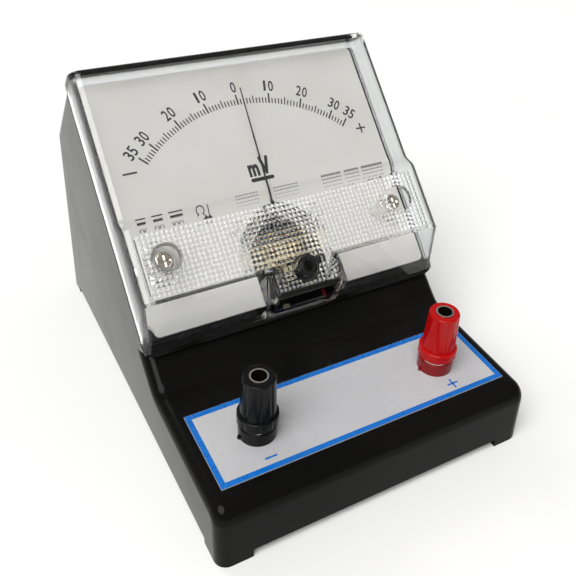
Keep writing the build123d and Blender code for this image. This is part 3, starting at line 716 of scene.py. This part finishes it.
def make_symbols():
    """Small instrument symbols above the band: coil and magnet, direct current, class and position."""
    bm = bmesh.new()
    top = 17.7
    for start, end in ((-40.9, -38.0), (-36.2, -33.0), (-31.2, -27.0)):
        add_bar(bm, (start, top), (end, top), 0.3, INK_LOW, INK_HIGH)
        for row in (0.75, 1.35):
            add_bar(bm, (start + 0.2, top - row), (end - 0.2, top - row), 0.18, INK_LOW, INK_HIGH)
    arch = [(1.25 * cos(radians(a)), 1.25 * sin(radians(a))) for a in range(0, 181, 15)]
    for first, second in zip(arch, arch[1:]):
        start = (-21.9 + first[0], top - 1.2 + first[1])
        add_bar(bm, start, (-21.9 + second[0], top - 1.2 + second[1]), 0.3, INK_LOW, INK_HIGH)
    for u in (-23.15, -20.65):
        add_bar(bm, (u, top - 1.2), (u, top - 2.2), 0.3, INK_LOW, INK_HIGH)
    add_bar(bm, (-19.4, top), (-19.4, top - 2.2), 0.3, INK_LOW, INK_HIGH)
    for start, end in ((-10.4, -3.3), (2.3, 10.1)):
        u = start
        while u < end:
            for row in (0.0, 0.75):
                add_bar(bm, (u, top + 0.2 - row), (u + 0.5, top + 0.2 - row), 0.16, INK_LOW, INK_HIGH)
            u += 0.95
    for start, end in ((19.0, 25.9), (27.4, 31.9), (33.8, 41.4)):
        u = start
        while u < end:
            add_bar(bm, (u, top + 0.3), (u + 0.55, top + 0.3), 0.34, INK_LOW, INK_HIGH)
            add_bar(bm, (u, top - 0.55), (u + 0.55, top - 0.55), 0.22, INK_LOW, INK_HIGH)
            u += 0.9
    piece("dial_symbols", bm, head_matrix(), INK, "housing")


# ---- printing on the deck ----
def make_label_print():
    """Blue border, minus and plus on the terminal label."""
    half_w, half_d, width = 44.2, 12.65, 1.55
    bm = bmesh.new()
    for v in (-half_d + width / 2 + 0.05, half_d - width / 2 - 0.05):
        add_bar(bm, (-half_w + 0.05, v), (half_w - 0.05, v), width, 0.0, 0.025)
    for u in (-half_w + width / 2 + 0.05, half_w - width / 2 - 0.05):
        add_bar(bm, (u, -half_d + width + 0.05), (u, half_d - width - 0.05), width, 0.0, 0.025)
    add_bar(bm, (-30.8, -9.0), (-27.4, -9.0), 0.55, 0.0, 0.025)
    add_bar(bm, (27.2, -8.6), (30.7, -8.6), 0.55, 0.0, 0.025)
    add_bar(bm, (28.95, -10.3), (28.95, -6.9), 0.55, 0.0, 0.025)
    piece("label_print", bm, deck_matrix(), BLUE, "housing")


def make_locking_paint():
    """Drop of red locking lacquer on the front jewel nut."""
    bm = bmesh.new()
    bmesh.ops.create_uvsphere(bm, u_segments=20, v_segments=12, radius=1.0)
    for vertex in bm.verts:
        wobble = 1 + 0.12 * sin(5 * atan2(vertex.co.y, vertex.co.x) + 0.7)
        vertex.co = Vector((vertex.co.x * 0.6 * wobble, vertex.co.y * 1.1 * wobble, vertex.co.z * 0.4))
        vertex.co += Vector((1.5, 0.6, -2.55))
    piece("locking_paint", bm, head_matrix(), MATERIALS["red_plastic"], "housing")


# ---- stage, lights, camera ----
def make_stage():
    """Plain pale floor."""
    bm = bmesh.new()
    bmesh.ops.create_grid(bm, x_segments=1, y_segments=1, size=3.0)
    mesh = bpy.data.meshes.new("floor")
    bm.to_mesh(mesh)
    bm.free()
    look = Look("studio_floor", (0.88, 0.88, 0.88), 0.7)
    look.color(look.blend(look.ramp(look.noise(3.0), 0, 1), (0.87, 0.87, 0.865), (0.89, 0.89, 0.885)))
    mesh.materials.append(look.material)
    floor = bpy.data.objects.new("floor", mesh)
    bpy.context.collection.objects.link(floor)


def sun(name, towards, strength, angle, color=(1, 1, 1)):
    """Wide soft source, given by the direction it shines from."""
    light = bpy.data.lights.new(name, "SUN")
    light.energy = strength
    light.angle = radians(angle)
    light.color = color
    obj = bpy.data.objects.new(name, light)
    obj.rotation_euler = Vector(towards).to_track_quat("Z", "Y").to_euler()
    bpy.context.collection.objects.link(obj)


def make_lights():
    """Light room with one wide lamp overhead and a small one behind."""
    world = bpy.data.worlds.new("studio")
    world.use_nodes = True
    world.node_tree.nodes["Background"].inputs["Color"].default_value = (1.0, 0.99, 0.975, 1)
    world.node_tree.nodes["Background"].inputs["Strength"].default_value = 0.30
    bpy.context.scene.world = world
    sun("overhead", (-0.45, -0.33, 0.83), 3.0, 46)
    sun("back_light", (-0.25, 0.75, 0.6), 0.55, 22)


def make_camera():
    """Camera at the front left, looking down on the dial."""
    azimuth, elevation, distance, roll = radians(28.97), radians(33.79), 0.22059, 0.0390
    target = Vector((0.0, -0.0205, 0.046))
    back = Vector((-sin(azimuth) * cos(elevation), -cos(azimuth) * cos(elevation), sin(elevation)))
    place = target + distance * back
    aim = target + Vector((0.00591, 0.0, 0.01009))
    forward = (aim - place).normalized()
    right = forward.cross(Vector((0, 0, 1))).normalized()
    up = right.cross(forward)
    right, up = cos(roll) * right + sin(roll) * up, cos(roll) * up - sin(roll) * right
    camera = bpy.data.cameras.new("camera")
    camera.sensor_width = 36.0
    camera.lens = 47.36
    camera.shift_x, camera.shift_y = -0.0550, -0.0980
    camera.clip_start, camera.clip_end = 0.01, 10.0
    obj = bpy.data.objects.new("camera", camera)
    obj.matrix_world = Matrix.Translation(place) @ Matrix((right, up, -forward)).transposed().to_4x4()
    bpy.context.collection.objects.link(obj)
    bpy.context.scene.camera = obj


def corners(box):
    """Box corners as plain lists."""
    return [list(map(float, corner)) for corner in box]


dress_nodes()
make_cover()
make_scale()
make_symbols()
make_label_print()
make_locking_paint()
make_stage()
make_lights()
make_camera()
bpy.context.scene.view_settings.view_transform = "Standard"
